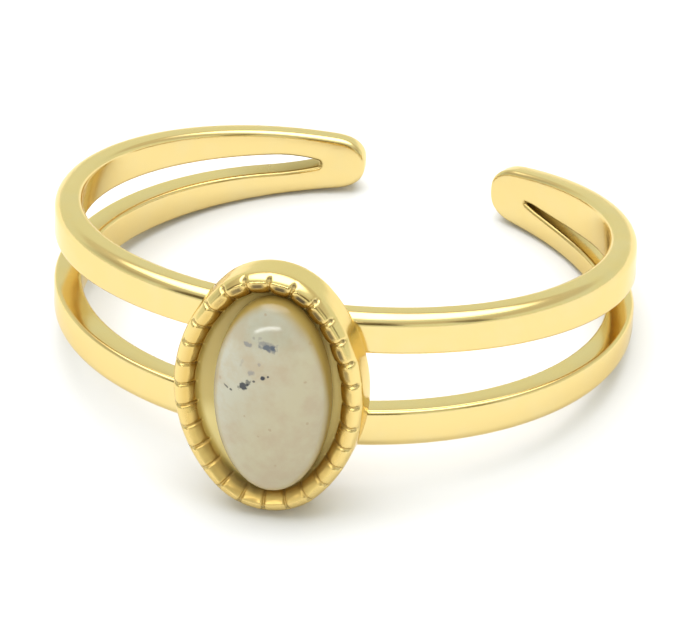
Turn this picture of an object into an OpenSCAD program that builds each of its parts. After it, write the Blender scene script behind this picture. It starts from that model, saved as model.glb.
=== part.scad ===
// Open finger ring: a split band with two rounded tips, and an oval cabochon in a cup with a milled rim.
// The ring lies on a surface as it rests by itself, on the cup's foot and the lower strand near the back.
// Origin: on that surface, under the middle of the ring. +Z is up, and the stone faces -Y.
// Angles round the ring start at the front, opposite the gap, and grow towards +X.

/* [Band] */
// Overall width of the band, side to side
ring_w = 20.2; // [18:0.1:23]
// Overall depth of the band, front to back
ring_d = 18; // [16:0.1:21]
// Thickness of the metal, from the finger side to the outer face
band_t = 0.95; // [0.7:0.05:1.4]
// Height of the band at the front, over both strands
front_h = 4.92; // [4:0.02:6]
// Height that the band's taper would reach right at the back
back_h = 1.06; // [0.8:0.02:2]
// Height of the slot between the strands at the front
slot_front_h = 2.18; // [1.4:0.02:2.8]
// Rounding of the band's upper and lower edges on the outer face
outer_edge_r = 0.38; // [0.1:0.01:0.4]
// Rounding of the band's upper and lower edges on the finger side
inner_edge_r = 0.2; // [0.1:0.01:0.25]
// Rounding of the slot's edges on the outer face
slot_outer_r = 0.15; // [0.1:0.01:0.2]
// Rounding of the slot's edges on the finger side
slot_inner_r = 0.14; // [0.1:0.01:0.2]

/* [Slot ends] */
// Angle at which the slot ends on the left
left_slot_end = 153.5; // [140:0.5:154]
// Angle at which the slot ends on the right
right_slot_end = 151; // [140:0.5:151]
// Height that the slot tapers to on the left, before it runs to a point
left_slot_h = 0.66; // [0.4:0.01:1]
// Height that the slot tapers to on the right, before it runs to a point
right_slot_h = 0.17; // [0.16:0.01:1]
// How late the slot narrows on the left: 1 is evenly, and more is sooner
left_slot_fall = 2; // [1.2:0.1:3]
// How late the slot narrows on the right
right_slot_fall = 1.3; // [1.2:0.1:3]
// Degrees over which the slot runs to a point on the left
left_slot_point = 10; // [2:0.5:12]
// Degrees over which the slot runs to a point on the right
right_slot_point = 3; // [2:0.5:12]
// How far the slot sags below the band's middle on the right, where the lower strand is the slimmer one
right_slot_drop = 0.33; // [0:0.01:0.4]

/* [Gap at the back] */
// Angle at which the left tip begins to round off
left_tip_start = 157.5; // [154:0.5:158]
// Angle at which the right tip begins to round off
right_tip_start = 154.5; // [151:0.5:158]
// Angle of the left tip
left_tip = 164.8; // [160:0.1:170]
// Angle of the right tip
right_tip = 162; // [160:0.1:170]
// Squareness of the tips: 2 is an ellipse, and more is blunter
tip_square = 2.6; // [2:0.1:4]

/* [Bezel cup] */
// How far round the band the cup sits from the point opposite the gap, in degrees
bezel_turn = 6.5; // [-10:0.1:10]
// Distance of the cup's middle below the band's
bezel_drop = 0.1; // [-0.2:0.01:0.2]
// Width of the cup over its wall
bezel_w = 6.4; // [5.2:0.02:8]
// Height of the cup over its wall
bezel_h = 8.66; // [7:0.02:11]
// Radius of the wall at the cup's upper and lower ends
bezel_end_r = 2.45; // [2:0.05:2.5]
// How far the rim's front stands out from the band
bezel_stand = 1.45; // [1:0.01:1.8]
// Width of the rim, from the wall's outer face to the opening
rim_w = 0.62; // [0.54:0.01:0.66]
// Rounding of the rim's outer edge
rim_r = 0.34; // [0.1:0.01:0.4]
// Rounding of the cup's edge at the back
back_r = 0.36; // [0.1:0.01:0.4]
// Depth of the cup's floor behind the rim's front
seat_depth = 0.6; // [0.4:0.01:0.65]
// How far the cup's inner wall leans in towards the floor
seat_lean = 0.06; // [0:0.01:0.1]

/* [Milled rim] */
// How far the teeth slope down from the rounded edge to the opening
tooth_drop = 0.28; // [0.1:0.01:0.35]
// Number of teeth round the rim
tooth_count = 28; // [20:1:36]
// Width of the notch between two teeth
notch_w = 0.16; // [0.08:0.01:0.3]
// Distance that a notch runs outwards from the opening, up the slope of the teeth
notch_run = 0.5; // [0.2:0.01:0.5]
// Depth of a notch in the teeth
notch_depth = 0.12; // [0.05:0.01:0.15]

/* [Stone] */
// Width of the stone
stone_w = 3.96; // [3:0.02:4.6]
// Height of the stone, up the finger
stone_h = 7; // [5:0.02:7.1]
// Thickness of the stone, from its flat back to its crown
stone_rise = 1.4; // [1:0.05:2.2]
// Fullness of the dome: 2 is an ellipse, and more has steeper sides
stone_full = 2.5; // [2:0.1:4]
// Distance of the stone to the right of the cup's middle
stone_shift = 0.18; // [-0.2:0.01:0.2]
// Gap between the stone's back and the cup's floor
stone_gap = 0.05; // [0.03:0.01:0.1]

/* [Hidden] */

// Depth that the cup's flat back sinks into the band's curved front, where it is soldered on
cup_sink = 0.18;
// Segments of the drawn circles; the rims and walls are true curves
$fn = 96;

// The band's outer face: its distance from the axis swings between half the depth and half the width
mean_r = (ring_w + ring_d) / 4;
swing_r = (ring_w - ring_d) / 4;
function outer_r(a) = mean_r - swing_r * cos(2 * a);

// Point of the outer face at an angle, and the direction that points straight out of it there
function outer_point(a) = outer_r(a) * [sin(a), -cos(a)];
function outward(a) =
    let (grow = 2 * swing_r * sin(2 * a))
    let (along = [grow * sin(a) + outer_r(a) * cos(a), outer_r(a) * sin(a) - grow * cos(a)])
    [along.y, -along.x] / norm(along);

// Share of the way round to the back, squared: both tapers follow it
function round_share(a) = pow(a / 180, 2);
function half_band(a) = (front_h - (front_h - back_h) * round_share(a)) / 2;

// The slot tapers towards each end in its own way, and then runs to a blunt point
point_reach = 1.15;
point_form = 1.5;
function half_slot(a) =
    let (left = a < 0)
    let (end = left ? left_slot_end : right_slot_end)
    let (end_h = left ? left_slot_h : right_slot_h)
    let (point = left ? left_slot_point : right_slot_point)
    let (left_over = max(0, 1 - round_share(a) / round_share(end)))
    let (narrowing = pow(left_over, left ? left_slot_fall : right_slot_fall))
    let (past = max(0, (abs(a) - end + point) / (point_reach * point)))
    let (pointing = pow(1 - pow(past, point_form), 1 / point_form))
    (end_h + (slot_front_h - end_h) * narrowing) / 2 * pointing;

// Height of the slot's middle: on the right it sags on the way to the slot's end, and comes back there
sag_form = 2.4;
function slot_middle(a) =
    a < 0 ? 0 : -right_slot_drop * sin(180 * pow(round_share(a) / round_share(right_slot_end), sag_form));

// The band is one flat loop of metal. Each place on the loop has a point on the edge of the slot and a
// point on the outer edge, both as [angle, height] on the unrolled outer face.
strand_steps = 84;
end_steps = 24;

// A place on the upper (side 1) or lower (side -1) strand
function strand_place(a, side) =
    [[a, slot_middle(a) + side * half_slot(a)], [a, side * half_band(a)]];

// A place round an end of the slot; turn runs from 90, up, through 0, at the tip, to -90, down.
// The slot's end is an arc that runs on from its two edges, and the tip rounds off from its start.
function end_place(turn, side, slot_end, tip_start, tip) =
    let (mm_per_degree = outer_r(slot_end) * PI / 180)
    let (narrowing = half_slot(side * (slot_end - 1)) - half_slot(side * slot_end))
    let (lean = atan(narrowing / mm_per_degree))
    let (arc_r = half_slot(side * slot_end) / cos(lean))
    let (arc_turn = turn * (90 - lean) / 90)
    let (along = slot_end + (tip - slot_end) * cos(turn))
    let (past = max(0, (along - tip_start) / (tip - tip_start)))
    let (rounding = pow(1 - pow(past, tip_square), 1 / tip_square))
    [
        [side * (slot_end + arc_r * (cos(arc_turn) - sin(lean)) / mm_per_degree), arc_r * sin(arc_turn)],
        [side * along, sign(turn) * half_band(along) * rounding]
    ];

loop_places = [
    for (i = [0:strand_steps])
        strand_place(-left_slot_end + (left_slot_end + right_slot_end) * i / strand_steps, 1),
    for (i = [1:end_steps - 1])
        end_place(90 - 180 * i / end_steps, 1, right_slot_end, right_tip_start, right_tip),
    for (i = [0:strand_steps])
        strand_place(right_slot_end - (left_slot_end + right_slot_end) * i / strand_steps, -1),
    for (i = [1:end_steps - 1])
        end_place(180 * i / end_steps - 90, -1, left_slot_end, left_tip_start, left_tip)
];

// The loop's section, as [share of the way from slot edge to outer edge, millimetres added to that,
// depth below the outer face], with a rounded corner at each end of both faces
function corner(share, side, r, face, steps) = [
    for (i = [0:steps])
        let (turn = 90 * i / steps)
        let (in = r * (1 - cos(turn)))
        let (down = r * (1 - sin(turn)))
        [share, -side * in, face == 0 ? down : band_t - down]
];
function backwards(list) = [for (i = [len(list) - 1:-1:0]) list[i]];
loop_section = concat(
    corner(1, 1, outer_edge_r, 0, 3),
    backwards(corner(0, -1, slot_outer_r, 0, 2)),
    corner(0, -1, slot_inner_r, 1, 2),
    backwards(corner(1, 1, inner_edge_r, 1, 2))
);

// A point of the band from a place on the loop and a point of its section. Where the strand is narrower
// than corner_room times its two rounded corners, they narrow with it.
corner_room = 1.2;
function band_point(place, spot) =
    let (near = place[0])
    let (far = place[1])
    let (mm_per_degree = outer_r(near[0]) * PI / 180)
    let (span = [(far[0] - near[0]) * mm_per_degree, far[1] - near[1]])
    let (narrowing = min(1, norm(span) / (corner_room * (outer_edge_r + slot_outer_r))))
    let (share = spot[0] + spot[1] * narrowing / norm(span))
    let (a = near[0] + (far[0] - near[0]) * share)
    let (flat = outer_point(a) - spot[2] * outward(a))
    [flat.x, flat.y, near[1] + (far[1] - near[1]) * share];

module band() {
    places = len(loop_places);
    spots = len(loop_section);
    polyhedron(
        points = [for (place = loop_places) for (spot = loop_section) band_point(place, spot)],
        faces = [
            for (i = [0:places - 1]) for (j = [0:spots - 1])
                let (here = i * spots)
                let (next = (i + 1) % places * spots)
                let (k = (j + 1) % spots)
                each [[here + j, next + k, here + k], [here + j, next + j, next + k]]
        ]
    );
}

// The cup's outline is an oval of four arcs: two ends of bezel_end_r, and two sides that run on from them
end_off = bezel_h / 2 - bezel_end_r;
side_r = (pow(end_off, 2) + pow(bezel_w / 2, 2) - pow(bezel_end_r, 2)) / (bezel_w - 2 * bezel_end_r);
side_off = side_r - bezel_w / 2;
join_turn = atan(end_off / side_off);

// Sweeps a section round the oval. The section's x is 0 on the wall's outer face and less inside it.
module round_oval() {
    for (side = [0, 180]) {
        rotate([0, 0, side])
            translate([-side_off, 0, 0])
            rotate([0, 0, -join_turn])
            rotate_extrude(angle = 2 * join_turn)
            translate([side_r, 0]) children();
        rotate([0, 0, side])
            translate([0, end_off, 0])
            rotate([0, 0, join_turn])
            rotate_extrude(angle = 180 - 2 * join_turn)
            translate([bezel_end_r, 0]) children();
    }
}

// The flat oval itself, drawn a distance inside the wall's outer face
module oval(inside) {
    intersection() {
        translate([-side_off, 0]) circle(side_r - inside);
        translate([side_off, 0]) circle(side_r - inside);
        square([bezel_w, 2 * (side_r - inside) * sin(join_turn)], center = true);
    }
    for (side = [-1, 1]) translate([0, side * end_off]) circle(bezel_end_r - inside);
}

// Places children on the cup's front: x across, y up the finger, z out of the face
face_r = outer_r(bezel_turn) + bezel_stand;
module on_face() {
    rotate([0, 0, bezel_turn]) translate([0, -face_r, -bezel_drop]) rotate([90, 0, 0]) children();
}

// The rim and the wall are one section, from the rim's front to the cup's flat back
cup_deep = bezel_stand + cup_sink;

module rim_section() {
    translate([-rim_r, -rim_r]) circle(rim_r);
    translate([-back_r, back_r - cup_deep]) circle(back_r);
    polygon([
        [0, back_r - cup_deep],
        [0, -rim_r],
        [-rim_r, -rim_r],
        [-rim_r, 0],
        [-rim_w, -tooth_drop],
        [-rim_w - seat_lean, -seat_depth],
        [-rim_w - seat_lean, -cup_deep],
        [-back_r, -cup_deep],
        [-back_r, back_r - cup_deep]
    ]);
}

// The notches lie at equal steps along the middle of the rim. A turn is the direction that points
// straight out of the oval: 0 at the right, 90 at the top.
side_run = (side_r - rim_w / 2) * join_turn;
quarter_run = side_run + (bezel_end_r - rim_w / 2) * (90 - join_turn);
function quarter_turn(run) =
    run < side_run ? run / (side_r - rim_w / 2)
    : join_turn + (run - side_run) / (bezel_end_r - rim_w / 2);
function notch_turn(i) =
    let (run = 4 * quarter_run * i / tooth_count)
    let (quarter = floor(run / quarter_run))
    quarter % 2 == 0 ? 90 * quarter + quarter_turn(run - quarter * quarter_run)
    : 90 * (quarter + 1) - quarter_turn((quarter + 1) * quarter_run - run);

// A notch is cut along the slope of the teeth. It starts a little inside the opening, in the open.
tooth_slope = atan(tooth_drop / (rim_w - rim_r));
notch_start = 0.15;

module notch(turn) {
    on_side = abs(sin(turn)) < sin(join_turn);
    middle = on_side ? [-sign(cos(turn)) * side_off, 0, 0] : [0, sign(sin(turn)) * end_off, 0];
    opening_r = (on_side ? side_r : bezel_end_r) - rim_w;
    translate(middle)
        rotate([0, 0, turn])
        translate([opening_r, 0, -tooth_drop])
        rotate([0, -tooth_slope, 0])
        translate([-notch_start, -notch_w / 2, -notch_depth])
        cube([notch_run + notch_start, notch_w, 2 * notch_depth]);
}

module bezel() {
    on_face() difference() {
        union() {
            round_oval() rim_section();
            translate([0, 0, -cup_deep]) linear_extrude(cup_deep - seat_depth) oval(rim_w);
        }
        for (i = [0:tooth_count - 1]) notch(notch_turn(i));
    }
}

// Rings of the stone from its flat back up, as [share of its outline, height]
stone_sides = 48;
dome_steps = 9;
girdle_z = 0.12;
back_share = 0.95;
stone_rings = concat(
    [[back_share, 0]],
    [
        for (i = [0:dome_steps - 1])
            let (rise = 90 * i / dome_steps)
            let (up = pow(sin(rise), 2 / stone_full))
            [pow(cos(rise), 2 / stone_full), girdle_z + (stone_rise - girdle_z) * up]
    ]
);

module cabochon() {
    rings = len(stone_rings);
    points = [
        for (ring = stone_rings) for (i = [0:stone_sides - 1])
            let (turn = 360 * i / stone_sides)
            [ring[0] * stone_w / 2 * cos(turn), ring[0] * stone_h / 2 * sin(turn), ring[1]]
    ];
    polyhedron(
        points = concat(points, [[0, 0, stone_rise]]),
        faces = concat(
            [[for (i = [0:stone_sides - 1]) i]],
            [
                for (j = [0:rings - 2]) for (i = [0:stone_sides - 1])
                    let (here = j * stone_sides + i)
                    let (beside = j * stone_sides + (i + 1) % stone_sides)
                    each [
                        [here, here + stone_sides, beside + stone_sides],
                        [here, beside + stone_sides, beside]
                    ]
            ],
            [
                for (i = [0:stone_sides - 1])
                    let (last = (rings - 1) * stone_sides)
                    [last + i, len(points), last + (i + 1) % stone_sides]
            ]
        )
    );
}

// The ring rests on the rounded back edge of the cup's foot and on the lower strand near the back, to the
// left and right alike, so the tilt is about X alone. The foot's rounding has its centre at foot.
foot = [-(face_r - cup_deep + back_r) * cos(bezel_turn), back_r - bezel_h / 2 - bezel_drop];
rest_tilt = min([
    for (a = [90:left_slot_end])
        let (away = [-(outer_r(a) - outer_edge_r) * cos(a), -half_band(a)] - foot)
        atan(away.y / away.x) + asin(back_r / norm(away))
]);
rest_z = foot.x * sin(rest_tilt) - foot.y * cos(rest_tilt) + back_r;

// The ring's depth as it rests, from the stone's dome to the left tip
dome_lean = norm([stone_w / 2 * sin(bezel_turn) * cos(rest_tilt), stone_h / 2 * sin(rest_tilt)]);
dome_reach = max([
    for (ring = stone_rings)
        (face_r + ring[1] + stone_gap - seat_depth) * cos(bezel_turn) * cos(rest_tilt) + ring[0] * dome_lean
]);
front_y = stone_shift * sin(bezel_turn) * cos(rest_tilt) - dome_reach - bezel_drop * sin(rest_tilt);
back_y = -outer_r(left_tip) * cos(left_tip) * cos(rest_tilt);

module at_rest() {
    translate([0, -(front_y + back_y) / 2, rest_z]) rotate([-rest_tilt, 0, 0]) children();
}

module band_and_bezel() {
    color("gold") at_rest() {
        band();
        bezel();
    }
}

module stone() {
    color("antiquewhite") at_rest() on_face()
        translate([stone_shift, 0, stone_gap - seat_depth]) cabochon();
}

band_and_bezel();
stone();
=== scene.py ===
# %% [markdown]
# # A gold ring with an oval stone
#
# This lesson dresses a small finger ring: an open band that is split into two strands, an oval cup with a
# milled rim that is soldered on its front, and a milky stone in the cup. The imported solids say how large
# the ring is and where it lies. Here each visible piece is modelled again with finer edges, and gets its
# finish.

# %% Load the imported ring
import math
import random

import bmesh
import bpy
from mathutils import Matrix, Vector


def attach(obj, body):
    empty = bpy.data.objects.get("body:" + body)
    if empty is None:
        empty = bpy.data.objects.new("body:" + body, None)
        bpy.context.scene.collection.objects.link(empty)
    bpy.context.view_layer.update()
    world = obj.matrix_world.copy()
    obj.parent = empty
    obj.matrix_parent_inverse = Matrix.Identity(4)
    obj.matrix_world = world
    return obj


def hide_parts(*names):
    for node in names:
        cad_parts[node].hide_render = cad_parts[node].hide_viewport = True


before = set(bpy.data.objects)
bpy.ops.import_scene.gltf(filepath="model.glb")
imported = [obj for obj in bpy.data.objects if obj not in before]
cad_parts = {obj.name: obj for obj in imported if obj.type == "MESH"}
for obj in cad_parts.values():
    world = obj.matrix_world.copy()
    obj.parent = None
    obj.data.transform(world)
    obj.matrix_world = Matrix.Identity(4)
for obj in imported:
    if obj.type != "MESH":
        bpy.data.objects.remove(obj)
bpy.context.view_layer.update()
print("packed nodes:", sorted(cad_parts))

# %% [markdown]
# The pieces are drawn in millimetres, as a goldsmith would measure them, standing upright with the
# finger's axis along Z and the stone facing -Y. Only at the end is each one leaned back into the attitude
# in which the ring rests by itself, and brought to metres. One function does that for all, so they can't
# drift apart.

# %% From the bench to the table
MM = 0.001
REST_TILT = math.radians(11.0596)
REST_SHIFT = Vector((0, 1.35322, 2.60205))

at_rest = (
    Matrix.Scale(MM, 4)
    @ Matrix.Translation(REST_SHIFT)
    @ Matrix.Rotation(-REST_TILT, 4, "X")
)
print("the ring leans back by", round(math.degrees(REST_TILT), 2), "degrees")


def finish_piece(mesh_maker, name, node):
    """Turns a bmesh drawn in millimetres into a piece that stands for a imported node."""
    bmesh.ops.remove_doubles(mesh_maker, verts=mesh_maker.verts, dist=1e-5)
    bmesh.ops.transform(mesh_maker, matrix=at_rest, verts=mesh_maker.verts)
    bmesh.ops.recalc_face_normals(mesh_maker, faces=mesh_maker.faces)
    mesh = bpy.data.meshes.new(name)
    mesh_maker.to_mesh(mesh)
    mesh_maker.free()
    mesh.shade_smooth()
    piece = bpy.data.objects.new(name, mesh)
    bpy.context.scene.collection.objects.link(piece)
    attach(piece, "root")
    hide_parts(node)
    print(name, len(mesh.polygons), "faces")
    return piece


# %% [markdown]
# The band's outer face is an oval hoop, a little wider than deep. Three small functions say where it
# runs: how far out it is at an angle, which point that is, and which way is straight out. Angles start at
# the front, under the stone, and grow towards +X, which is to the right as one looks at the stone.

# %% The hoop that the band follows
RING_WIDE = 20.2
RING_DEEP = 18.0
MEAN_R = (RING_WIDE + RING_DEEP) / 4
SWING_R = (RING_WIDE - RING_DEEP) / 4


def hoop_radius(angle):
    return MEAN_R - SWING_R * math.cos(2 * angle)


def hoop_point(angle):
    return hoop_radius(angle) * Vector((math.sin(angle), -math.cos(angle), 0))


def hoop_outward(angle):
    ahead = hoop_point(angle + 1e-4) - hoop_point(angle - 1e-4)
    return Vector((ahead.y, -ahead.x, 0)).normalized()


print("outer face of the band:", RING_WIDE, "by", RING_DEEP, "mm")

# %% [markdown]
# The real band is likely sawn from flat sheet and bent round a mandrel, so it is made here the same way:
# first as a flat strip with one long slot, then wrapped. Flat, its edges can be rounded with a plain
# bevel. The strip is lowest at its ends, and the slot closes towards them, so both heights follow the
# angle.

# %% Heights of the band and the slot
METAL_THICK = 0.95
FRONT_HIGH = 4.92
BACK_HIGH = 1.06
SLOT_FRONT_HIGH = 2.18
LEFT, RIGHT = -1, 1
SLOT_END = {LEFT: math.radians(153.5), RIGHT: math.radians(151)}
SLOT_END_HIGH = {LEFT: 0.66, RIGHT: 0.17}
SLOT_FALL = {LEFT: 2.0, RIGHT: 1.3}
SLOT_POINT = {LEFT: math.radians(10), RIGHT: math.radians(3)}
POINT_REACH = 1.15
POINT_FORM = 1.5
SLOT_SAG = {LEFT: 0.0, RIGHT: 0.33}
SAG_FORM = 2.4


def taper(angle):
    return (angle / math.pi) ** 2


def half_band(angle):
    return (FRONT_HIGH - (FRONT_HIGH - BACK_HIGH) * taper(angle)) / 2


def half_slot(angle):
    """Half the slot's height: it tapers towards each end in its own way, then runs to a blunt point."""
    side = LEFT if angle < 0 else RIGHT
    end, point, end_high = SLOT_END[side], SLOT_POINT[side], SLOT_END_HIGH[side]
    narrowing = max(0, 1 - taper(angle) / taper(end)) ** SLOT_FALL[side]
    past = max(0, (abs(angle) - end + point) / (POINT_REACH * point))
    pointing = (1 - past**POINT_FORM) ** (1 / POINT_FORM)
    return (end_high + (SLOT_FRONT_HIGH - end_high) * narrowing) / 2 * pointing


def slot_middle(angle):
    side = LEFT if angle < 0 else RIGHT
    return -SLOT_SAG[side] * math.sin(math.pi * (taper(angle) / taper(SLOT_END[side])) ** SAG_FORM)


print("height of each strand at the front:", round(half_band(0) - half_slot(0), 2), "mm")

# %% [markdown]
# The strip's outline is a track that is walked once: along the upper strand, round the right tip, back
# along the lower strand and round the left tip. Every place on it has a point on the outer edge and one
# on the slot's edge, so that the metal between them can be filled in one go.

# %% Walk the outline
TIP_START = {LEFT: math.radians(157.5), RIGHT: math.radians(154.5)}
TIP = {LEFT: math.radians(164.8), RIGHT: math.radians(162)}
TIP_SQUARE = 2.6
STRAND_STEPS = 200
TIP_STEPS = 44


def strand_places(start, end, side):
    """Pairs of points along a strand, on the outer edge and on the slot, as (angle, height)."""
    for step in range(STRAND_STEPS + 1):
        angle = start + (end - start) * step / STRAND_STEPS
        yield (angle, side * half_band(angle)), (angle, slot_middle(angle) + side * half_slot(angle))


def tip_places(side):
    """Pairs of points round a tip, from the strand before it to the strand after it."""
    root, tip, start = SLOT_END[side], TIP[side], TIP_START[side]
    step_back = math.radians(1)
    narrowing = half_slot(side * (root - step_back)) - half_slot(side * root)
    lean = math.atan(narrowing / (hoop_radius(root) * step_back))
    arc_r = half_slot(side * root) / math.cos(lean)
    for step in range(1, TIP_STEPS):
        turn = side * math.pi * (0.5 - step / TIP_STEPS)
        along = root + (tip - root) * math.cos(turn)
        past = max(0, (along - start) / (tip - start))
        rounding = (1 - past**TIP_SQUARE) ** (1 / TIP_SQUARE)
        arc_turn = turn * (1 - 2 * lean / math.pi)
        slot_along = root + arc_r * (math.cos(arc_turn) - math.sin(lean)) / hoop_radius(root)
        yield (
            (side * along, math.copysign(half_band(along) * rounding, turn)),
            (side * slot_along, arc_r * math.sin(arc_turn)),
        )


track = [
    *strand_places(-SLOT_END[LEFT], SLOT_END[RIGHT], 1),
    *tip_places(RIGHT),
    *strand_places(SLOT_END[RIGHT], -SLOT_END[LEFT], -1),
    *tip_places(LEFT),
]
print("places round the strip:", len(track))

# %% [markdown]
# A circle of vertices is laid on the outer edge and extruded inwards onto the slot's edge, which gives
# one closed loop of flat metal. A number kept on every vertex says which place of the track it belongs
# to, and the extrusion hands it on. Extruding the faces gives the strip its thickness.

# %% Saw the flat strip
FLAT_R = MEAN_R
strip = bmesh.new()
place_of = strip.verts.layers.int.new("place")
on_slot = strip.verts.layers.int.new("on_slot")
outer_loop = bmesh.ops.create_circle(strip, cap_ends=False, segments=len(track), radius=1)["verts"]
for number, vert in enumerate(outer_loop):
    vert[place_of] = number
    angle, height = track[number][0]
    vert.co = (angle * FLAT_R, height, 0)

new = bmesh.ops.extrude_edge_only(strip, edges=strip.edges[:])["geom"]
for vert in (item for item in new if isinstance(item, bmesh.types.BMVert)):
    angle, height = track[vert[place_of]][1]
    vert.co = (angle * FLAT_R, height, 0)
    vert[on_slot] = 1

new = bmesh.ops.extrude_face_region(strip, geom=strip.faces[:])["geom"]
finger_side = [item for item in new if isinstance(item, bmesh.types.BMVert)]
bmesh.ops.translate(strip, verts=finger_side, vec=(0, 0, METAL_THICK))
bmesh.ops.recalc_face_normals(strip, faces=strip.faces)
print("strip thickness:", METAL_THICK, "faces:", len(strip.faces))

# %% [markdown]
# Polishing rounds the edges: most along the band's upper and lower edge on the outer face, and less in
# the slot, where the wheel doesn't reach. The edges that stand square on the strip are found by the angle
# between their faces and by the side that they are on, and are bevelled in four goes, with enough
# segments for a smooth glint.

# %% Round the strip's edges
OUTER_EDGE_R = 0.38
FINGER_EDGE_R = 0.2
SLOT_OUTER_R = 0.15
SLOT_FINGER_R = 0.14
EDGE_SEGMENTS = 6
SQUARE_FROM = 1.0  # radians between the faces of an edge


def square_edges(depth, slot):
    """Edges of the strip at a depth, on the slot's side or the outer one, where two faces meet squarely."""
    found = []
    for edge in strip.edges:
        level = all(abs(vert.co.z - depth) < 1e-4 and vert[on_slot] == slot for vert in edge.verts)
        if level and len(edge.link_faces) == 2 and edge.calc_face_angle(0) > SQUARE_FROM:
            found.append(edge)
    return found


edge_rounds = (
    (0, 0, OUTER_EDGE_R),
    (0, 1, SLOT_OUTER_R),
    (METAL_THICK, 0, FINGER_EDGE_R),
    (METAL_THICK, 1, SLOT_FINGER_R),
)
for depth, slot, radius in edge_rounds:
    edges = square_edges(depth, slot)
    bmesh.ops.bevel(
        strip,
        geom=edges,
        offset=radius,
        offset_type="OFFSET",
        affect="EDGES",
        segments=EDGE_SEGMENTS,
        profile=0.5,
        clamp_overlap=True,
        material=-1,
    )
    print("edges rounded:", len(edges), "radius", radius)

# %% [markdown]
# Deep in the slot, near its narrow ends, its walls lie in shade, and painted shade darkens the gold there.
# A painter would mask those walls by hand. Here a rule does it while the strip is still flat: how near a
# place is to the slot's end, and how near to its edge.

# %% Where painted shade darkens the slot
SLOT_SHADE_REACH = math.radians(26)
SLOT_SHADE_FULL = math.radians(3)
SLOT_SHADE_EDGE = (0.05, 0.13)


def smooth(low, high, value):
    """0 up to low, 1 from high on, and a soft slope between them."""
    share = min(1, max(0, (value - low) / (high - low)))
    return share * share * (3 - 2 * share)


def slot_edge_distance(angle, height):
    """Distance from the slot's edge to a place on the flat strip."""
    end = SLOT_END[LEFT if angle < 0 else RIGHT]
    reached = math.copysign(min(abs(angle), end), angle)
    beyond = (abs(angle) - abs(reached)) * FLAT_R
    return abs(math.hypot(beyond, height - slot_middle(reached)) - half_slot(reached))


def slot_shade_at(angle, height):
    """How much painted shade darkens the slot's walls, from 0 to 1: more towards the slot's end."""
    end = SLOT_END[LEFT if angle < 0 else RIGHT]
    near_end = smooth(end - SLOT_SHADE_REACH, end - SLOT_SHADE_FULL, abs(angle))
    return near_end * (1 - smooth(*SLOT_SHADE_EDGE, slot_edge_distance(angle, height)))


# the angle where the painted shade in the slot begins, on the right
print("residue from", round(math.degrees(SLOT_END[RIGHT] - SLOT_SHADE_REACH)), "degrees on, on the right")

# %% [markdown]
# Wrapping is one move for every vertex: its distance along the strip becomes an angle round the hoop, its
# height stays, and its depth goes straight in from the outer face. The ends stay apart, as the open
# ring's do.

# %% Bend the strip round the mandrel
def shade_evenly(piece):
    """Lets the large faces lead the shading, so that they look flat and only the roundings look round."""
    even = piece.modifiers.new("even shading", "WEIGHTED_NORMAL")
    even.keep_sharp = True


# each vertex keeps how much painted shade darkens it deep in the slot
slot_shade_of = strip.verts.layers.float.new("slot_shade")
for vert in strip.verts:
    angle = vert.co.x / FLAT_R
    vert[slot_shade_of] = slot_shade_at(angle, vert.co.y)
    wrapped = hoop_point(angle) - vert.co.z * hoop_outward(angle)
    vert.co = (wrapped.x, wrapped.y, vert.co.y)

band = finish_piece(strip, "split_band", "band_and_bezel")
shade_evenly(band)

# %% [markdown]
# The cup is an oval of four arcs. Every line round it, on the wall, the rim or the floor, keeps the same
# directions and only lies further in, so a place on the cup is given by a direction and a distance from
# the wall's outer face. The rim is milled with 28 notches at even steps along its middle.

# %% The cup's oval
CUP_WIDE = 6.4
CUP_HIGH = 8.66
CUP_END_R = 2.45
RIM_WIDE = 0.72
END_OFF = CUP_HIGH / 2 - CUP_END_R
SIDE_R = (END_OFF**2 + (CUP_WIDE / 2) ** 2 - CUP_END_R**2) / (CUP_WIDE - 2 * CUP_END_R)
SIDE_OFF = SIDE_R - CUP_WIDE / 2
JOIN_TURN = math.atan(END_OFF / SIDE_OFF)

SIDE_RUN = (SIDE_R - RIM_WIDE / 2) * JOIN_TURN
QUARTER_RUN = SIDE_RUN + (CUP_END_R - RIM_WIDE / 2) * (math.pi / 2 - JOIN_TURN)


def quarter_turn(run):
    """Direction on the first quarter of the oval, at a distance along the middle of the rim."""
    if run < SIDE_RUN:
        return run / (SIDE_R - RIM_WIDE / 2)
    return JOIN_TURN + (run - SIDE_RUN) / (CUP_END_R - RIM_WIDE / 2)


def oval_turn(share):
    """Direction that points straight out of the oval, at a share of the way round its rim."""
    quarter, rest = divmod(4 * share % 4, 1)
    if quarter % 2 == 0:
        return quarter * math.pi / 2 + quarter_turn(rest * QUARTER_RUN)
    return (quarter + 1) * math.pi / 2 - quarter_turn((1 - rest) * QUARTER_RUN)


def oval_point(turn, inset, height):
    """Place on the cup: a direction, a distance inside the wall's outer face, and a height."""
    out = Vector((math.cos(turn), math.sin(turn), 0))
    if abs(out.y) < math.sin(JOIN_TURN):
        middle = Vector((-math.copysign(SIDE_OFF, out.x), 0, height))
        return middle + (SIDE_R - inset) * out
    middle = Vector((0, math.copysign(END_OFF, out.y), height))
    return middle + (CUP_END_R - inset) * out


print("arcs of the cup: sides", round(SIDE_R, 2), "ends", CUP_END_R, "mm")

# %% [markdown]
# Each tooth of the rim is a small pillow between two notches. The stations round the cup are therefore
# not even: they crowd at a notch and spread over the tooth's middle.

# %% Stations round the milled rim
TOOTH_COUNT = 28
TOOTH_STATIONS = (0, 0.03, 0.06, 0.09, 0.13, 0.2, 0.34, 0.5, 0.66, 0.8, 0.87, 0.91, 0.94, 0.97)
stations = [
    (oval_turn((tooth + phase) / TOOTH_COUNT), tooth, phase)
    for tooth in range(TOOTH_COUNT)
    for phase in TOOTH_STATIONS
]
print("stations round the cup:", len(stations))

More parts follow.
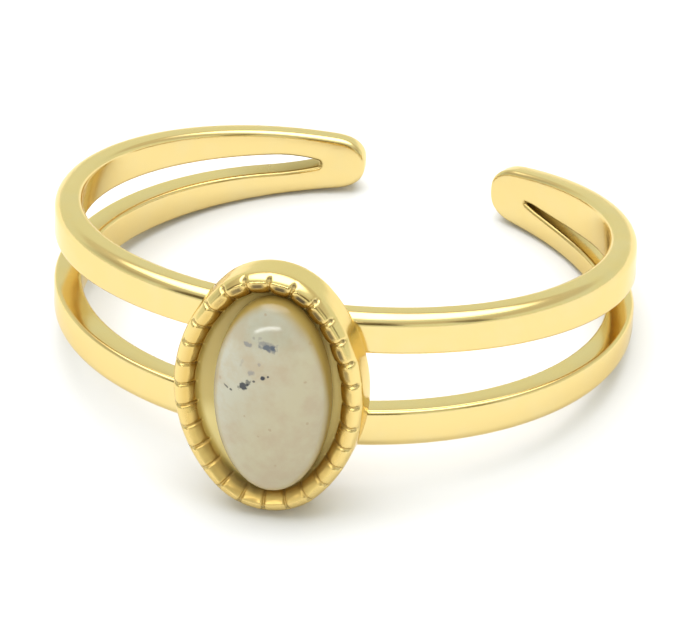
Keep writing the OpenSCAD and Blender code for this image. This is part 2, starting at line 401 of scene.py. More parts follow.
# %% [markdown]
# The cup's section is walked from the edge of its flat back: round the back edge, up the wall, over the
# rounded rim, down the slope of the teeth and the inner wall, and in over the floor. Every row is one
# extrusion of the loop before it, so a row is only a distance inside the wall and a height. The back edge
# and the rim's outer edge are arcs, and the slope of the teeth and the foot of the inner wall go row by
# row.

# %% Rows of the cup's section
CUP_STAND = 1.45
CUP_SINK = 0.18
CUP_DEEP = CUP_STAND + CUP_SINK
RIM_R = 0.34
RIM_FALL = 0.45
TOOTH_DROP = 0.28
BACK_R = 0.36
SEAT_DEEP = 0.6
ROUND_STEPS = 7
WALL_ROWS = ((0, -1.0), (0, -0.72))
TOOTH_ROWS = (
    (0.38, -0.008), (0.43, -0.028), (0.48, -0.056), (0.53, -0.09), (0.58, -0.13), (0.63, -0.175),
    (0.67, -0.215), (0.70, -0.25), (RIM_WIDE, -TOOTH_DROP),
)
INNER_ROWS = ((0.733, -0.32), (0.742, -0.37), (0.755, -0.43), (0.78, -0.495), (0.82, -0.55), (0.87, -0.583))
FLOOR_INSETS = (0.94, 1.05, 1.2)

bend = [math.pi / 2 * step / ROUND_STEPS for step in range(ROUND_STEPS + 1)]
back_rows = [(BACK_R * (1 - math.sin(turn)), BACK_R * (1 - math.cos(turn)) - CUP_DEEP) for turn in bend]
rim_rows = [(RIM_R * (1 - math.cos(turn)), RIM_FALL * (math.sin(turn) - 1)) for turn in bend]
floor_rows = [(inset, -SEAT_DEEP) for inset in FLOOR_INSETS]
section = [*back_rows, *WALL_ROWS, *rim_rows, *TOOTH_ROWS, *INNER_ROWS, *floor_rows]
print("rows of the section:", len(section))

# %% [markdown]
# Milling is done by hand and eye, so no two notches are alike: each gets its own depth, each tooth its
# own slope, and each hollow under the rim's crest its own share of painted shade. They are drawn at random
# from a fixed seed, so that every run gives the same cup.

# %% Uneven handwork
NOTCH_DEEP = 0.085
rng = random.Random(28)
notch_share = [rng.uniform(0.75, 1.15) for _ in range(TOOTH_COUNT)]
tooth_sink = [rng.uniform(-0.012, 0.022) for _ in range(TOOTH_COUNT)]
# each hollow's share of painted shade
hollow_shade = [rng.uniform(0.7, 1.15) for _ in range(TOOTH_COUNT)]
print("deepest notch:", round(NOTCH_DEEP * max(notch_share), 3), "mm")

# %% [markdown]
# The mill bites a straight groove between two teeth. It starts as a small pit in the rounded edge, runs
# down the slope and is open towards the stone. Each tooth falls away towards its notches and its foot
# like a pillow, and keeps a faint hollow where the cutter stops under the crest. Widths across a tooth
# are shares of the step from one notch to the next, and the other sizes are millimetres.

# %% Bite the notches
NOTCH_HALF = 0.11
HOLLOW_DEEP = 0.02
SIDE_FALL = 0.03
FOOT_FALL = 0.07
BITE_INSET = RIM_WIDE + 0.1
BITE_LOW = -0.56


def between(rise, fall, value):
    """1 between two ranges, fading in over the first one and out over the second."""
    return smooth(*rise, value) * (1 - smooth(*fall, value))


def pit_at(inset):
    """How much of the pit at a groove's outer end there is at an inset, from 0 to 1."""
    return between((0.06, 0.11), (0.15, 0.22), inset)


def hollow_at(inset, gap):
    """How much there is of the small hollow where the cutter stops under the rim's crest, from 0 to 1."""
    return between((0.27, 0.33), (0.43, 0.50), inset) * smooth(NOTCH_HALF + 0.04, 0.3, gap)


def groove_at(inset, gap):
    """How much of a notch there is at an inset and a distance from its middle, 1 and more in its pit."""
    width = NOTCH_HALF * (1 + 0.4 * pit_at(inset))
    return smooth(0.03, 0.10, inset) * (1 - smooth(0.1 * width, width, gap)) * (1 + 0.5 * pit_at(inset))


def bite_at(inset, height, tooth, phase):
    """How far the metal is lowered at a place of the rim."""
    if inset >= BITE_INSET or height < BITE_LOW:
        return 0
    gap = min(phase, 1 - phase)
    notch = tooth if phase < 0.5 else (tooth + 1) % TOOTH_COUNT
    groove = NOTCH_DEEP * notch_share[notch] * groove_at(inset, gap)
    pillow = SIDE_FALL * (1 - smooth(NOTCH_HALF, 0.5, gap)) * smooth(0.2, 0.45, inset)
    pillow += FOOT_FALL * (1 - smooth(0, 0.26, gap)) * smooth(0.52, RIM_WIDE, inset)
    pillow += HOLLOW_DEEP * hollow_at(inset, gap)
    sink = tooth_sink[tooth] * smooth(0.3, 0.6, inset) * smooth(NOTCH_HALF, 0.3, gap)
    fade = 1 - smooth(TOOTH_DROP, SEAT_DEEP - 0.1, -height)
    return (groove + pillow + sink) * fade


print("lowest place in a groove:", round(bite_at(0.5, -0.1, 0, 0), 3), "mm down")

# %% [markdown]
# Every groove gets a little painted shade. There is more painted shade in the pits and hollows at the
# upper right, and a painted shadow under the teeth at the lower left. Just beside it a painted highlight
# lies on the glue round the stone. Brushing these on by hand would work too, but rules keep them on their
# notches.

# %% Where painted shade and a painted highlight lie on the cup
# where painted shade lies deepest in pits and hollows, where a painted shadow lies under the teeth, and how
# dark
DEEP_SHADE_SIDE = math.radians(72)
UNDER_TEETH_SIDE = math.radians(243)
# where the painted highlight lies on the glue
SEAT_GLINT_SIDE = math.radians(213)
GROOVE_SHADE = 0.2
UNDER_TEETH_SHADE = 0.62


def on_side(turn, side, start, full):
    """How much a direction round the cup belongs to a side of it, from 0 to 1."""
    return smooth(start, full, math.cos(turn - side))


def painted_shade_at(turn, tooth, phase, inset, height):
    """How much painted shade there is at a place of the cup, from 0 to 1."""
    gap = min(phase, 1 - phase)
    deep_shade = on_side(turn, DEEP_SHADE_SIDE, 0.15, 0.8)
    in_groove = (GROOVE_SHADE + (0.25 + 0.5 * deep_shade) * pit_at(inset)) * min(1, groove_at(inset, gap))
    in_hollow = deep_shade * hollow_shade[tooth] * hollow_at(inset, gap)
    on_rim = inset < RIM_WIDE and height > -RIM_FALL
    under_teeth = on_side(turn, UNDER_TEETH_SIDE, 0.86, 0.97) * between((0.53, 0.66), (0.76, 0.86), inset)
    return max(max(in_groove, in_hollow) if on_rim else 0, UNDER_TEETH_SHADE * under_teeth)


def seat_glint_at(turn, inset):
    """How much painted highlight lies on the glue at a place of the seat, from 0 to 1."""
    return on_side(turn, SEAT_GLINT_SIDE, 0.90, 0.975) * smooth(0.76, 0.86, inset)


print("residue in a pit at the upper right:", round(painted_shade_at(DEEP_SHADE_SIDE, 0, 0, 0.13, 0), 2))

# %% [markdown]
# The loop starts as a circle laid on the flat back's edge and filled. After the last row the floor is
# filled too, so the cup is one closed solid. Three numbers stay on the vertices for the finish: how far
# inside the wall a place is, how much painted shade it gets, and how much painted highlight its glue gets.

# %% Sweep the section round the oval
cup_maker = bmesh.new()
station_of = cup_maker.verts.layers.int.new("station")
inset_of = cup_maker.verts.layers.float.new("inset")
# how much painted shade each vertex gets
painted_shade_of = cup_maker.verts.layers.float.new("painted_shade")
# how much painted highlight lies on each vertex's glue
seat_glint_of = cup_maker.verts.layers.float.new("seat_glint")
loop = bmesh.ops.create_circle(cup_maker, cap_ends=False, segments=len(stations), radius=1)["verts"]
for number, vert in enumerate(loop):
    vert[station_of] = number


def lay_row(verts, inset, height):
    for vert in verts:
        turn, tooth, phase = stations[vert[station_of]]
        vert.co = oval_point(turn, inset, height - bite_at(inset, height, tooth, phase))
        vert[inset_of] = inset
        vert[painted_shade_of] = painted_shade_at(turn, tooth, phase, inset, height)
        vert[seat_glint_of] = seat_glint_at(turn, inset)


edges = cup_maker.edges[:]
lay_row(loop, *section[0])
bmesh.ops.contextual_create(cup_maker, geom=edges)
for inset, height in section[1:]:
    new = bmesh.ops.extrude_edge_only(cup_maker, edges=edges)["geom"]
    row = {item for item in new if isinstance(item, bmesh.types.BMVert)}
    edges = [item for item in new if isinstance(item, bmesh.types.BMEdge) and row.issuperset(item.verts)]
    lay_row(row, inset, height)
bmesh.ops.contextual_create(cup_maker, geom=edges)
print("cup:", len(cup_maker.verts), "vertices")

# %% [markdown]
# The cup sits a few degrees round the band, its front standing out from the band's outer face and its
# flat back sunk a little into the metal, as solder would hold it. The same placement serves the stone.

# %% Place the cup on the band
CUP_TURN = math.radians(6.5)
CUP_DROP = 0.1
on_face = (
    Matrix.Rotation(CUP_TURN, 4, "Z")
    @ Matrix.Translation((0, -hoop_radius(CUP_TURN) - CUP_STAND, -CUP_DROP))
    @ Matrix.Rotation(math.pi / 2, 4, "X")
)
bmesh.ops.transform(cup_maker, matrix=on_face, verts=cup_maker.verts)
cup = finish_piece(cup_maker, "stone_cup", "band_and_bezel")
shade_evenly(cup)

# %% [markdown]
# The stone is a cabochon: a polished dome with a flat back. A sphere is a good start, since its rings
# close in neat poles. The upper half takes the fuller curve of the dome, and the lower half becomes the
# thin girdle and the back.

# %% Cut the cabochon
STONE_WIDE = 3.96
STONE_HIGH = 7.0
STONE_RISE = 1.4
STONE_FULL = 2.5
STONE_SHIFT = 0.18
STONE_GAP = 0.05
GIRDLE = 0.12
GIRDLE_SHARE = 0.25  # of the sphere's lower half
GIRDLE_DRAFT = 0.05

dome = bmesh.new()
bmesh.ops.create_uvsphere(dome, u_segments=144, v_segments=96, radius=1)
for vert in dome.verts:
    rise = vert.co.z
    across = Vector((vert.co.x, vert.co.y, 0))
    share = min(1, across.length) ** (2 / STONE_FULL)
    if rise >= 0:
        height = GIRDLE + (STONE_RISE - GIRDLE) * rise ** (2 / STONE_FULL)
    else:
        height = GIRDLE * max(0, 1 + rise / GIRDLE_SHARE)
        share = min(share, 1 - GIRDLE_DRAFT * smooth(0, GIRDLE_SHARE, -rise))
    across = across.normalized() * share if across.length > 1e-6 else across
    vert.co = (across.x * STONE_WIDE / 2, across.y * STONE_HIGH / 2, height)

seat = Matrix.Translation((STONE_SHIFT, 0, STONE_GAP - SEAT_DEEP))
bmesh.ops.transform(dome, matrix=on_face @ seat, verts=dome.verts)
cabochon = finish_piece(dome, "cabochon", "stone")

# %% [markdown]
# The finishes are node trees. A few small helpers keep them short to write: one adds a node and links it,
# two are for sums with numbers and with vectors, one mixes two colours, and one turns a range of values
# into a share from 0 to 1. The last two start a node group and a material.

# %% Helpers for node trees
def add(tree, kind, links=(), **settings):
    """Adds a node, sets its properties and sockets, and links its inputs."""
    node = tree.nodes.new(kind)
    for name, value in settings.items():
        setattr(node, name, value)
    for socket, source in dict(links).items():
        if isinstance(source, bpy.types.NodeSocket):
            tree.links.new(source, node.inputs[socket])
        else:
            node.inputs[socket].default_value = source
    return node


def maths(tree, operation, *values):
    """A Math node, given its operation and its inputs as sockets or numbers. Returns its output."""
    return add(tree, "ShaderNodeMath", enumerate(values), operation=operation).outputs[0]


def vector_maths(tree, operation, *vectors, output="Vector"):
    """A Vector Math node, given its operation and its inputs. Returns one of its outputs."""
    return add(tree, "ShaderNodeVectorMath", enumerate(vectors), operation=operation).outputs[output]


def mix(tree, share, first, second):
    """A colour mix. Returns its output."""
    return add(tree, "ShaderNodeMix", {0: share, 6: first, 7: second}, data_type="RGBA").outputs[2]


def share_of(tree, value, low, high, top=1.0, soft=False):
    """How far a value is on the way from low to high, as a number from 0 to top. Returns its output."""
    sockets = {"Value": value, "From Min": low, "From Max": high, "To Max": top}
    form = "SMOOTHSTEP" if soft else "LINEAR"
    return add(tree, "ShaderNodeMapRange", sockets, interpolation_type=form).outputs[0]


def new_group(name, inputs, outputs):
    """An empty node group with its sockets, and its input and output nodes."""
    group = bpy.data.node_groups.new(name, "ShaderNodeTree")
    for title, kind, value in inputs:
        socket = group.interface.new_socket(title, in_out="INPUT", socket_type=kind)
        if value is not None:
            socket.default_value = value
    for title, kind in outputs:
        group.interface.new_socket(title, in_out="OUTPUT", socket_type=kind)
    print("group:", name)
    return group, group.nodes.new("NodeGroupInput"), group.nodes.new("NodeGroupOutput")


def new_material(name):
    material = bpy.data.materials.new(name)
    material.use_nodes = True
    tree = material.node_tree
    print("material:", name)
    return material, tree, tree.nodes["Principled BSDF"]


# %% [markdown]
# Gold plate is a metal whose colour is its reflection, so the material is a plain metallic shader with a
# warm base colour. What makes it read as polished by hand is small: faint long scratches, a slow ripple
# that bends the reflections, and patches that are a little less bright. All three are in one node group,
# because the band and the cup share them. Its scales are for coordinates in metres.

# %% Node group: hand polish
polish, given, result = new_group(
    "hand polish",
    [
        ("Vector", "NodeSocketVector", None),
        ("Roughness", "NodeSocketFloat", 0.15),
        ("Wear", "NodeSocketFloat", 0.06),
    ],
    [("Roughness", "NodeSocketFloat"), ("Height", "NodeSocketFloat"), ("Dull", "NodeSocketFloat")],
)
place = given.outputs["Vector"]
along = add(polish, "ShaderNodeMapping", {"Vector": place, "Scale": (900, 900, 5200)}).outputs[0]
scratches = add(polish, "ShaderNodeTexNoise", {"Vector": along, "Scale": 1.0, "Detail": 3.0}).outputs["Fac"]
ripple = add(polish, "ShaderNodeTexNoise", {"Vector": place, "Scale": 420.0, "Detail": 1.0}).outputs["Fac"]
sway = add(polish, "ShaderNodeTexNoise", {"Vector": place, "Scale": 150.0, "Detail": 0.0}).outputs["Fac"]
patches = add(polish, "ShaderNodeTexNoise", {"Vector": place, "Scale": 900.0, "Detail": 3.0}).outputs["Fac"]
uneven = maths(polish, "MULTIPLY_ADD", scratches, given.outputs["Wear"], given.outputs["Roughness"])
low_ripple = maths(polish, "MULTIPLY", ripple, 9.0)
slow_sway = maths(polish, "MULTIPLY_ADD", sway, 45.0, low_ripple)
height = maths(polish, "MULTIPLY_ADD", scratches, 0.12, slow_sway)
polish.links.new(uneven, result.inputs["Roughness"])
polish.links.new(height, result.inputs["Height"])
polish.links.new(share_of(polish, patches, 0.45, 0.75), result.inputs["Dull"])

# %% [markdown]
# One function makes both golds, and hands back what the cup's gold goes on from. The dull patches mix in
# a slightly greyer, more lemon tone, as the plate has where the wheel pressed less. At a glancing angle
# even gold mirrors white things almost white. The tint of the specular edge keeps a little of its warmth
# there.

# %% Gold of the band
WEAR = 0.08
RELIEF = 0.000004
EDGE_TINT = (0.98, 0.91, 0.74, 1)
# colour of the painted shade deep in the slot
SLOT_SHADE_TONE = (0.31, 0.23, 0.07, 1)


def gold_material(name, colour, dull_colour, polish_roughness):
    material, tree, shader = new_material(name)
    where = add(tree, "ShaderNodeTexCoord").outputs["Object"]
    sockets = {"Vector": where, "Roughness": polish_roughness, "Wear": WEAR}
    finish = add(tree, "ShaderNodeGroup", sockets, node_tree=polish)
    depths = {"Height": finish.outputs["Height"], "Strength": 1.0, "Distance": RELIEF}
    relief = add(tree, "ShaderNodeBump", depths)
    tone = mix(tree, finish.outputs["Dull"], (*colour, 1), (*dull_colour, 1))
    tree.links.new(relief.outputs["Normal"], shader.inputs["Normal"])
    shader.inputs["Metallic"].default_value = 1.0
    shader.inputs["Specular Tint"].default_value = EDGE_TINT
    return material, tree, shader, tone, finish.outputs["Roughness"]


def attribute(tree, name):
    """A number kept on a piece's vertices. Returns its output."""
    return add(tree, "ShaderNodeAttribute", attribute_name=name).outputs["Fac"]


band_gold, tree, shader, tone, worn = gold_material(
    "polished gold", (0.755, 0.584, 0.246), (0.735, 0.587, 0.272), 0.12,
)
# painted shade deep in the slot near its ends; it also roughens the gold there
slot_shade_share = maths(tree, "MULTIPLY", attribute(tree, "slot_shade"), 0.6)
tree.links.new(mix(tree, slot_shade_share, tone, SLOT_SHADE_TONE), shader.inputs["Base Color"])
tree.links.new(maths(tree, "MULTIPLY_ADD", slot_shade_share, 0.25, worn), shader.inputs["Roughness"])
band.data.materials.append(band_gold)

# %% [markdown]
# Patterns on the stone and round it are easiest to place in the frame of the cup's front, in millimetres:
# x across, y up the finger, z out of the face. A Mapping node undoes the leaning and shifting of the
# finished piece, so the marks stay where they are from every side. The cup and the stone both need it, so
# it is a group.

# %% Node group: face frame
face_place, face_turn, face_scale = (at_rest @ on_face).inverted().decompose()
face_frame, given, result = new_group(
    "face frame", [("Vector", "NodeSocketVector", None)], [("Vector", "NodeSocketVector")],
)
on_front = add(
    face_frame, "ShaderNodeMapping",
    {
        "Vector": given.outputs["Vector"],
        "Location": face_place,
        "Rotation": face_turn.to_euler(),
        "Scale": face_scale,
    },
)
face_frame.links.new(on_front.outputs[0], result.inputs["Vector"])
print("millimetres per metre:", round(face_scale.x))


def face_coordinates(tree):
    """The place on the cup's front, as one vector, and as its x, y and z."""
    where = add(tree, "ShaderNodeTexCoord").outputs["Object"]
    vector = add(tree, "ShaderNodeGroup", {"Vector": where}, node_tree=face_frame).outputs["Vector"]
    parts = add(tree, "ShaderNodeSeparateXYZ", {0: vector}).outputs
    return vector, parts["X"], parts["Y"], parts["Z"]


# %% [markdown]
# The cup's gold is the same plate, but the milled slope of the rim is mixed towards a deeper orange: a
# painted reflection of its teeth mirroring each other. Towards the lower end they are also less bright, as
# if the wheel had slipped off.

# %% Gold of the milled rim
# deeper orange of the milled slope: a painted reflection of the teeth in each other
MIRRORED_TEETH_TONE = (0.615, 0.415, 0.12, 1)
cup_gold, tree, shader, tone, worn = gold_material(
    "milled gold", (0.772, 0.588, 0.232), (0.75, 0.58, 0.242), 0.14,
)
inset_here = attribute(tree, "inset")
_, face_x, face_y, _ = face_coordinates(tree)
milled = share_of(tree, inset_here, 0.15, 0.45)
tone = mix(tree, maths(tree, "MULTIPLY", milled, 0.85), tone, MIRRORED_TEETH_TONE)
lower = share_of(tree, face_y, 0.5, -2.5, top=0.2)
worn = maths(tree, "MULTIPLY_ADD", milled, lower, worn)

# %% [markdown]
# Round the stone a film of glue dulls the plate to a soft khaki. Over it lie painted light and shade: a
# painted shadow in the line under the teeth and at the upper left, painted light on the right, and a
# painted highlight at the lower left. A colour ramp over the distance from the wall gives the line, and
# three soft mixes give the rest.

# %% Glue on the seat, with painted light and shade
# khaki glue, with a painted shadow line under the teeth and a painted light band beside it
GLUE_AND_SHADE_TONES = (
    (0.0, (0.70, 0.54, 0.20, 1)),
    (0.08, (0.60, 0.45, 0.12, 1)),
    (0.2, (0.74, 0.585, 0.195, 1)),
    (0.4, (0.62, 0.49, 0.175, 1)),
    (1.0, (0.60, 0.47, 0.16, 1)),
)
# painted light on the right of the seat, and painted shadow at its upper left
PAINTED_LIGHT_SEAT = (0.86, 0.71, 0.29, 1)
PAINTED_SHADOW_SEAT = (0.40, 0.28, 0.07, 1)
# pale colour of the painted highlight on the glue at the lower left
PAINTED_GLINT_TONE = (0.98, 0.87, 0.42, 1)
glue_and_shade_tones = add(tree, "ShaderNodeValToRGB", {"Fac": share_of(tree, inset_here, 0.70, 1.25)})
ramp = glue_and_shade_tones.color_ramp
for position, _ in GLUE_AND_SHADE_TONES[1:-1]:
    ramp.elements.new(position)
for element, (position, colour) in zip(ramp.elements, GLUE_AND_SHADE_TONES):
    element.position = position
    element.color = colour
# the painted shadow reaches in from the upper left
upper_left_shadow = maths(tree, "MULTIPLY_ADD", face_x, -1.2, face_y)
# painted highlight on the glue at the lower left
seat_glint = maths(tree, "MULTIPLY", attribute(tree, "seat_glint"), 0.6)
seat_colour = mix(tree, share_of(tree, face_x, 0.3, 2.2, top=0.8), glue_and_shade_tones.outputs["Color"], PAINTED_LIGHT_SEAT)
seat_colour = mix(tree, share_of(tree, upper_left_shadow, 2.0, 4.4, top=0.65), seat_colour, PAINTED_SHADOW_SEAT)
seat_colour = mix(tree, seat_glint, seat_colour, PAINTED_GLINT_TONE)
print("tones on the seat:", [round(element.position, 2) for element in ramp.elements])

# %% [markdown]
# Last come the painted shade and the shader's own values. Glue is no metal, so on the seat the shader
# turns less metallic and rougher, and so it does under the painted shade; the glue gets a thin glossy coat.

# %% Finish the cup's gold
# dark brown of the painted shade in grooves, pits and hollows, and under the teeth
PAINTED_SHADE_TONE = (0.055, 0.032, 0.008, 1)
beyond_teeth = share_of(tree, inset_here, 0.715, 0.75)
# painted shade from the vertices; it also makes the shader less metallic and rougher
rim_shade_share = maths(tree, "MULTIPLY", attribute(tree, "painted_shade"), 0.9)
plate = mix(tree, beyond_teeth, tone, seat_colour)
tree.links.new(mix(tree, rim_shade_share, plate, PAINTED_SHADE_TONE), shader.inputs["Base Color"])
bare = maths(tree, "MULTIPLY_ADD", beyond_teeth, -0.7, 1.0)
clean = maths(tree, "SUBTRACT", 1.0, rim_shade_share)
tree.links.new(maths(tree, "MULTIPLY", bare, clean), shader.inputs["Metallic"])
worn = maths(tree, "MULTIPLY_ADD", beyond_teeth, 0.35, worn)
tree.links.new(maths(tree, "MULTIPLY_ADD", rim_shade_share, 0.3, worn), shader.inputs["Roughness"])
tree.links.new(maths(tree, "MULTIPLY", beyond_teeth, 0.35), shader.inputs["Coat Weight"])
shader.inputs["Coat Roughness"].default_value = 0.12
cup.data.materials.append(cup_gold)
print("nodes in the cup's gold:", len(tree.nodes))

# %% [markdown]
# The milky body is not one colour: cooler and lighter at the upper left, warmer and pinker at the lower
# right, with soft clouds and thin veins, and in shade at its upper end. Two noises at different sizes and
# two slow slopes give that.

# %% Milk, clouds and veins
COOL_MILK = (0.465, 0.45, 0.355, 1)
WARM_MILK = (0.46, 0.405, 0.265, 1)
PINK_MILK = (0.43, 0.345, 0.225, 1)
VEIN_MILK = (0.60, 0.56, 0.44, 1)
SHADED_MILK = (0.32, 0.305, 0.225, 1)
stone_look, tree, shader = new_material("milky stone")
face_xyz, face_x, face_y, face_z = face_coordinates(tree)
slope = maths(tree, "SUBTRACT", face_x, maths(tree, "MULTIPLY", face_y, 0.6))
cloud_form = {"Vector": face_xyz, "Scale": 1.1, "Detail": 4.0, "Roughness": 0.6}
clouds = add(tree, "ShaderNodeTexNoise", cloud_form).outputs["Fac"]
vein_form = {"Vector": face_xyz, "Scale": 0.9, "Detail": 2.0, "Distortion": 0.8}
veins = add(tree, "ShaderNodeTexNoise", vein_form, noise_type="RIDGED_MULTIFRACTAL").outputs["Fac"]
milk = mix(tree, share_of(tree, slope, -2.2, 1.0, soft=True), COOL_MILK, WARM_MILK)
milk = mix(tree, share_of(tree, clouds, 0.42, 0.66, top=0.75), milk, PINK_MILK)
milk = mix(tree, share_of(tree, veins, 0.9, 1.5, top=0.35), milk, VEIN_MILK)
milk = mix(tree, share_of(tree, face_y, 1.9, 3.3, top=0.75), milk, SHADED_MILK)
print("nodes in the milk:", len(tree.nodes))

# %% [markdown]
# The dark marks are inclusions just under the polish: one blue-grey patch, a few smears and a string of
# dots. Each is an ellipse whose edge is made ragged by a fine noise. One node group draws such a mark,
# and a short table places them, in millimetres on the stone.

# %% Node group: inclusion
mark, given, result = new_group(
    "inclusion",
    [
        ("Vector", "NodeSocketVector", None),
        ("Place", "NodeSocketVector", None),
        ("Half Size", "NodeSocketVector", (0.1, 0.1, 1)),
        ("Turn", "NodeSocketFloat", 0.0),
        ("Ragged", "NodeSocketFloat", 0.5),
    ],
    [("Mask", "NodeSocketFloat")],
)
place = given.outputs["Vector"]
flat = vector_maths(mark, "MULTIPLY", place, (1, 1, 0))
away = vector_maths(mark, "SUBTRACT", flat, given.outputs["Place"])
turning = {"Vector": away, "Angle": given.outputs["Turn"]}
turned = add(mark, "ShaderNodeVectorRotate", turning, rotation_type="Z_AXIS").outputs[0]
sized = vector_maths(mark, "DIVIDE", turned, given.outputs["Half Size"])
reach = vector_maths(mark, "LENGTH", sized, output="Value")
grain = add(mark, "ShaderNodeTexNoise", {"Vector": place, "Scale": 9.0, "Detail": 3.0}).outputs["Fac"]
wobble = maths(mark, "MULTIPLY", maths(mark, "SUBTRACT", grain, 0.5), given.outputs["Ragged"])
edge = maths(mark, "MULTIPLY_ADD", wobble, 4.0, reach)
mark.links.new(share_of(mark, edge, 1.15, 0.6, soft=True), result.inputs["Mask"])

# %% [markdown]
# The table gives each mark its colour, place, half size, turn, strength and raggedness. They are laid on
# the milk one after the other.

# %% Lay the inclusions
BLUE_GREY = (0.075, 0.09, 0.125, 1)
DARK_GREY = (0.02, 0.022, 0.03, 1)
SOFT_GREY = (0.22, 0.21, 0.20, 1)
BROWN = (0.30, 0.19, 0.10, 1)
# colour, x, y, half width, half height, turn in degrees, strength, raggedness
MARKS = (
    (SOFT_GREY, 0.18, 2.18, 0.36, 0.16, -4, 0.75, 0.5),
    (BLUE_GREY, 0.24, 2.12, 0.26, 0.11, -6, 0.8, 0.5),
    (BLUE_GREY, 0.40, 2.08, 0.09, 0.12, 10, 0.6, 0.4),
    (SOFT_GREY, -0.46, 2.13, 0.17, 0.08, 2, 0.85, 0.5),
    (SOFT_GREY, -0.28, 2.37, 0.06, 0.06, 0, 0.5, 0.3),
    (SOFT_GREY, -0.06, 2.40, 0.07, 0.05, 0, 0.4, 0.3),
    (SOFT_GREY, -0.04, 1.54, 0.06, 0.07, 0, 0.55, 0.3),
    (SOFT_GREY, -0.31, 1.20, 0.12, 0.11, 30, 0.7, 0.5),
    (DARK_GREY, -0.19, 0.92, 0.06, 0.05, 0, 0.8, 0.3),
    (DARK_GREY, 0.11, 1.08, 0.08, 0.08, 20, 1.0, 0.4),
    (DARK_GREY, 0.28, 1.15, 0.045, 0.05, 0, 0.9, 0.3),
    (DARK_GREY, -0.56, 0.70, 0.17, 0.14, 42, 0.95, 0.6),
    (DARK_GREY, -0.38, 0.86, 0.11, 0.09, 20, 0.7, 0.5),
    (DARK_GREY, -1.16, 0.52, 0.11, 0.04, -30, 0.75, 0.4),
    (DARK_GREY, -0.99, 0.46, 0.06, 0.04, -10, 0.85, 0.3),
    (SOFT_GREY, -0.64, 1.50, 0.05, 0.16, -15, 0.25, 0.6),
    (BROWN, 1.55, 2.26, 0.09, 0.10, 0, 0.4, 0.5),
    (BROWN, 1.47, 1.03, 0.05, 0.05, 0, 0.4, 0.4),
    (BROWN, 0.01, 3.12, 0.05, 0.04, 0, 0.5, 0.3),
    (BROWN, -0.48, -0.38, 0.04, 0.04, 0, 0.4, 0.3),
    (BROWN, 0.40, -0.74, 0.07, 0.06, 0, 0.4, 0.5),
    (BROWN, 1.58, -0.45, 0.05, 0.05, 0, 0.35, 0.4),
    (BROWN, -1.42, 0.70, 0.05, 0.06, 0, 0.3, 0.4),
    (BROWN, 0.00, -1.05, 0.05, 0.04, 0, 0.3, 0.3),
    (BROWN, 0.56, -2.12, 0.05, 0.05, 0, 0.3, 0.3),
)
for colour, x, y, half_wide, half_high, turn, strength, ragged in MARKS:
    drawn = add(
        tree, "ShaderNodeGroup",
        {
            "Vector": face_xyz,
            "Place": (x, y, 0),
            "Half Size": (half_wide, half_high, 1),
            "Turn": -math.radians(turn),
            "Ragged": ragged,
        },
        node_tree=mark,
    )
    milk = mix(tree, maths(tree, "MULTIPLY", drawn.outputs["Mask"], strength), milk, colour)
print("marks on the stone:", len(MARKS))

# %% [markdown]
# The stone lets light through, and its thin foot shows the gold that it stands in. Here that is a painted
# reflection: the gold's colour is mixed into the milk. The tint fades upwards, and it reaches higher at the
# upper end and on the right, as it does on the real stone. A little light also scatters under the surface,
# which keeps the milk from looking like paint.

# %% Paint the gold's reflection on the foot, and finish the stone
# gold colour painted on the stone's foot: a painted reflection of the gold round it
PAINTED_GOLD_REFLECTION = (0.36, 0.255, 0.07, 1)
up = maths(tree, "MAXIMUM", face_y, 0.0)
right = maths(tree, "MAXIMUM", face_x, 0.0)
aside_and_up = maths(tree, "MULTIPLY", maths(tree, "ABSOLUTE", face_x), up)
climb = maths(tree, "MULTIPLY_ADD", up, -0.085, face_z)
climb = maths(tree, "MULTIPLY_ADD", right, -0.07, climb)
climb = maths(tree, "MULTIPLY_ADD", aside_and_up, -0.02, climb)
milk = mix(tree, share_of(tree, climb, 0.02, -0.34, soft=True), milk, PAINTED_GOLD_REFLECTION)
tree.links.new(milk, shader.inputs["Base Color"])
shader.inputs["Roughness"].default_value = 0.12
shader.inputs["Subsurface Weight"].default_value = 0.15
shader.inputs["Subsurface Radius"].default_value = (1.0, 0.9, 0.7)
shader.inputs["Subsurface Scale"].default_value = 0.0004
cabochon.data.materials.append(stone_look)
print("nodes in the stone's look:", len(tree.nodes))

# %% [markdown]
# The ring lies on white card. The card is only background, so it is staged. The light is strong enough
# for it to burn out to white, as in a bright product picture, all but the soft shadows close to the ring.

# %% Card under the ring
CARD_HALF = 2.0
table = bmesh.new()
bmesh.ops.create_grid(table, x_segments=1, y_segments=1, size=CARD_HALF)
card_mesh = bpy.data.meshes.new("card")
table.to_mesh(card_mesh)
table.free()
card = bpy.data.objects.new("card", card_mesh)
bpy.context.scene.collection.objects.link(card)
card_look, tree, shader = new_material("pale card")
shader.inputs["Base Color"].default_value = (0.752, 0.757, 0.772, 1)
shader.inputs["Roughness"].default_value = 0.9
shader.inputs["Specular IOR Level"].default_value = 0.0
card.data.materials.append(card_look)
print("card:", 2 * CARD_HALF, "m wide")

# %% [markdown]
# The camera stands where a pinhole camera fitted to the band's edges in the picture stands: 170 mm away
# with a long lens, about 36 degrees above the table and 22 degrees to the right of the front. A roll of
# nearly three degrees puts the horizon right.

